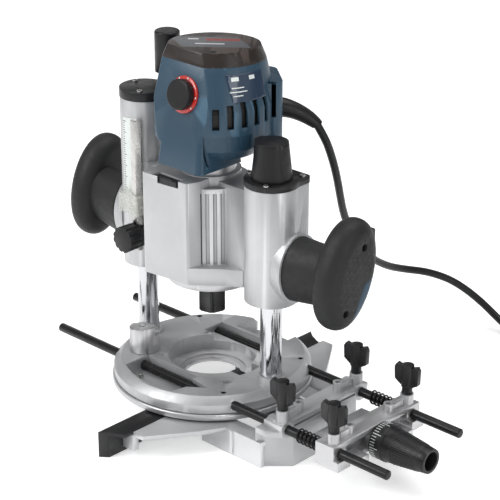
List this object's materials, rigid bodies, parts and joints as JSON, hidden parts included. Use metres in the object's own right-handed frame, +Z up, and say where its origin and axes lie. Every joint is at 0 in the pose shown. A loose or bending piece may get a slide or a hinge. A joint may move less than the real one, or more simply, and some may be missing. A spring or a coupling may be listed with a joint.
{
  "type": "plunge router",
  "caption": "Plunge router: round base with two columns, sprung motor carriage with palm grips, depth turret and stop rod, and a parallel edge guide on two rods.",
  "frame": {"origin": "on the spindle axis, in the underside of the sole, at the mouth of the guide bush seat", "axes": "+Z up along the spindle, +X along the guide rods towards the fine-adjust knob, -Y towards the speed dial"},
  "size_m": [0.4321, 0.4566, 0.3255],
  "materials": {
    "cast_alloy": "fine matt cast surface",
    "machined_alloy": "turned, satin",
    "bright_steel": "ground and hard-chromed",
    "steel": "zinc plated, satin",
    "black_steel": "black oxide, satin",
    "blue_plastic": "moulded, fine texture",
    "black_plastic": "moulded, satin",
    "grip_rubber": "soft, dimpled",
    "brown_cap": "moulded, satin",
    "red_plastic": "translucent red",
    "clear_plastic": "clear, polished",
    "white_label": "printed film",
    "copper": "enamelled windings",
    "cord_rubber": "matt rubber sheath",
    "sole_plastic": "smooth low-friction sheet"
  },
  "bodies": {
    "base": {"base_casting": "cast_alloy", "sub_base": "machined_alloy", "sub_base_screws": "steel", "base_set_screws": "black_steel", "left_column": "bright_steel", "right_column": "bright_steel", "left_plunge_spring": "steel", "right_plunge_spring": "steel", "turret_bolt": "steel"},
    "turret": {"stop_turret": "machined_alloy"},
    "lever": {"template_lever": "black_plastic"},
    "carriage": {"carriage_casting": "cast_alloy", "column_bushes": "copper", "left_cap": "black_plastic", "right_cap": "black_plastic", "cap_screws": "steel", "spring_pins": "steel", "lower_cover": "machined_alloy", "right_grip": "grip_rubber", "left_grip": "grip_rubber", "grip_inlays": "blue_plastic", "depth_bracket": "black_plastic", "depth_scale": "white_label", "motor_housing": "blue_plastic", "motor_cap": "brown_cap", "rating_plate": "white_label", "motor_neck": "machined_alloy", "stator": "steel", "spindle_bearings": "bright_steel", "bearing_bridge": "black_plastic", "carbon_brushes": "black_steel", "dial_ring": "red_plastic", "strain_relief": "cord_rubber", "cord_tube": "cord_rubber", "cord_coil": "cord_rubber", "cord_plug": "cord_rubber"},
    "switch": {"power_switch": "black_plastic"},
    "spindle": {"spindle_shaft": "steel", "rotor": "copper", "fan": "black_plastic", "collet": "steel", "collet_nut": "black_steel"},
    "dial": {"speed_dial": "black_plastic"},
    "stop_rod": {"depth_rod": "steel"},
    "pointer": {"depth_pointer": "clear_plastic"},
    "clamp_knob": {"depth_clamp_knob": "black_plastic"},
    "fine_depth": {"fine_depth_knob": "black_plastic"},
    "height": {"height_knob": "black_plastic"},
    "lock": {"plunge_lock_lever": "black_plastic"},
    "rods": {"guide_rods": "black_steel"},
    "outer_slide": {"outer_carrier": "machined_alloy", "rod_springs": "black_steel"},
    "adjuster": {"fine_adjust_knob": "black_plastic"},
    "fence": {"fence_body": "cast_alloy"},
    "jaw_front": {"front_jaw": "black_plastic"},
    "jaw_back": {"back_jaw": "black_plastic"},
    "wing_inner_front": {"inner_front_wing_bolt": "black_plastic"},
    "wing_inner_back": {"inner_back_wing_bolt": "black_plastic"},
    "wing_outer_front": {"outer_front_wing_bolt": "black_plastic"},
    "wing_outer_back": {"outer_back_wing_bolt": "black_plastic"}
  },
  "joints": [
    {"name": "plunge", "type": "slide", "parent": "base", "child": "carriage", "axis": [0, 0, 1], "range_m": [-0.064, 0], "stiffness_N_per_m": 700, "springref_m": 0.15, "deforming": ["left_plunge_spring", "right_plunge_spring"]},
    {"name": "spindle_turn", "type": "hinge", "parent": "carriage", "child": "spindle", "pos_m": [0, 0, 0.15], "axis": [0, 0, -1], "continuous": true},
    {"name": "turret_turn", "type": "hinge", "parent": "base", "child": "turret", "pos_m": [-0.05, -0.034, 0.03], "axis": [0, 0, 1], "continuous": true},
    {"name": "template_catch", "type": "hinge", "parent": "base", "child": "lever", "pos_m": [0.0415, -0.0015, 0.008], "axis": [0, 0, 1], "range_deg": [-8, 0], "stiffness_Nm_per_rad": 0.05, "springref_deg": 5.73},
    {"name": "speed_dial_turn", "type": "hinge", "parent": "carriage", "child": "dial", "pos_m": [0.0045, -0.03361, 0.266], "axis": [0, -0.9715, 0.2371], "range_deg": [-135, 135]},
    {"name": "switch_press", "type": "slide", "parent": "carriage", "child": "switch", "axis": [0, -1, 0], "range_m": [0, 0.0035], "stiffness_N_per_m": 600, "springref_m": -0.002},
    {"name": "depth_rod_slide", "type": "slide", "parent": "carriage", "child": "stop_rod", "axis": [0, 0, -1], "range_m": [0, 0.06]},
    {"name": "depth_pointer_slide", "type": "slide", "parent": "carriage", "child": "pointer", "axis": [0, 0, 1], "range_m": [-0.008, 0.055]},
    {"name": "depth_clamp_turn", "type": "hinge", "parent": "carriage", "child": "clamp_knob", "pos_m": [-0.0587, -0.037, 0.125], "axis": [0, -1, 0], "range_deg": [0, 180]},
    {"name": "fine_depth_turn", "type": "hinge", "parent": "carriage", "child": "fine_depth", "pos_m": [-0.0595, 0.009, 0.26], "axis": [0, 0, 1], "continuous": true},
    {"name": "height_knob_turn", "type": "hinge", "parent": "carriage", "child": "height", "pos_m": [0.0744, -0.0055, 0.205], "axis": [0, 0, 1], "continuous": true},
    {"name": "plunge_lock_turn", "type": "hinge", "parent": "carriage", "child": "lock", "pos_m": [0.052, 0.024, 0.15], "axis": [0, 1, 0], "range_deg": [-35, 35]},
    {"name": "guide_rod_slide", "type": "slide", "parent": "base", "child": "rods", "axis": [1, 0, 0], "range_m": [-0.006, 0.05]},
    {"name": "outer_carrier_slide", "type": "slide", "parent": "rods", "child": "outer_slide", "axis": [1, 0, 0], "range_m": [-0.006, 0.03]},
    {"name": "fine_adjust_turn", "type": "hinge", "parent": "outer_slide", "child": "adjuster", "pos_m": [0.2, 0.002, 0.0065], "axis": [1, 0, 0], "range_deg": [-1480, 1960]},
    {"name": "fence_adjust", "type": "slide", "parent": "outer_slide", "child": "fence", "axis": [1, 0, 0], "range_m": [-0.006, 0.008]},
    {"name": "front_jaw_slide", "type": "slide", "parent": "fence", "child": "jaw_front", "axis": [0, 1, 0], "range_m": [-0.015, 0.015]},
    {"name": "back_jaw_slide", "type": "slide", "parent": "fence", "child": "jaw_back", "axis": [0, 1, 0], "range_m": [-0.015, 0.015]},
    {"name": "wing_inner_front_turn", "type": "hinge", "parent": "fence", "child": "wing_inner_front", "pos_m": [0.125, -0.0457, 0.036], "axis": [0, 0, 1], "range_deg": [-90, 90]},
    {"name": "wing_inner_back_turn", "type": "hinge", "parent": "fence", "child": "wing_inner_back", "pos_m": [0.125, 0.0457, 0.036], "axis": [0, 0, 1], "range_deg": [-90, 90]},
    {"name": "wing_outer_front_turn", "type": "hinge", "parent": "outer_slide", "child": "wing_outer_front", "pos_m": [0.18, -0.0457, 0.036], "axis": [0, 0, 1], "range_deg": [-90, 90]},
    {"name": "wing_outer_back_turn", "type": "hinge", "parent": "outer_slide", "child": "wing_outer_back", "pos_m": [0.18, 0.0457, 0.036], "axis": [0, 0, 1], "range_deg": [-90, 90]}
  ],
  "couplings": [
    {"joint": "fine_adjust_turn", "follows": "fence_adjust", "rad_per_m": 4188.8}
  ]
}
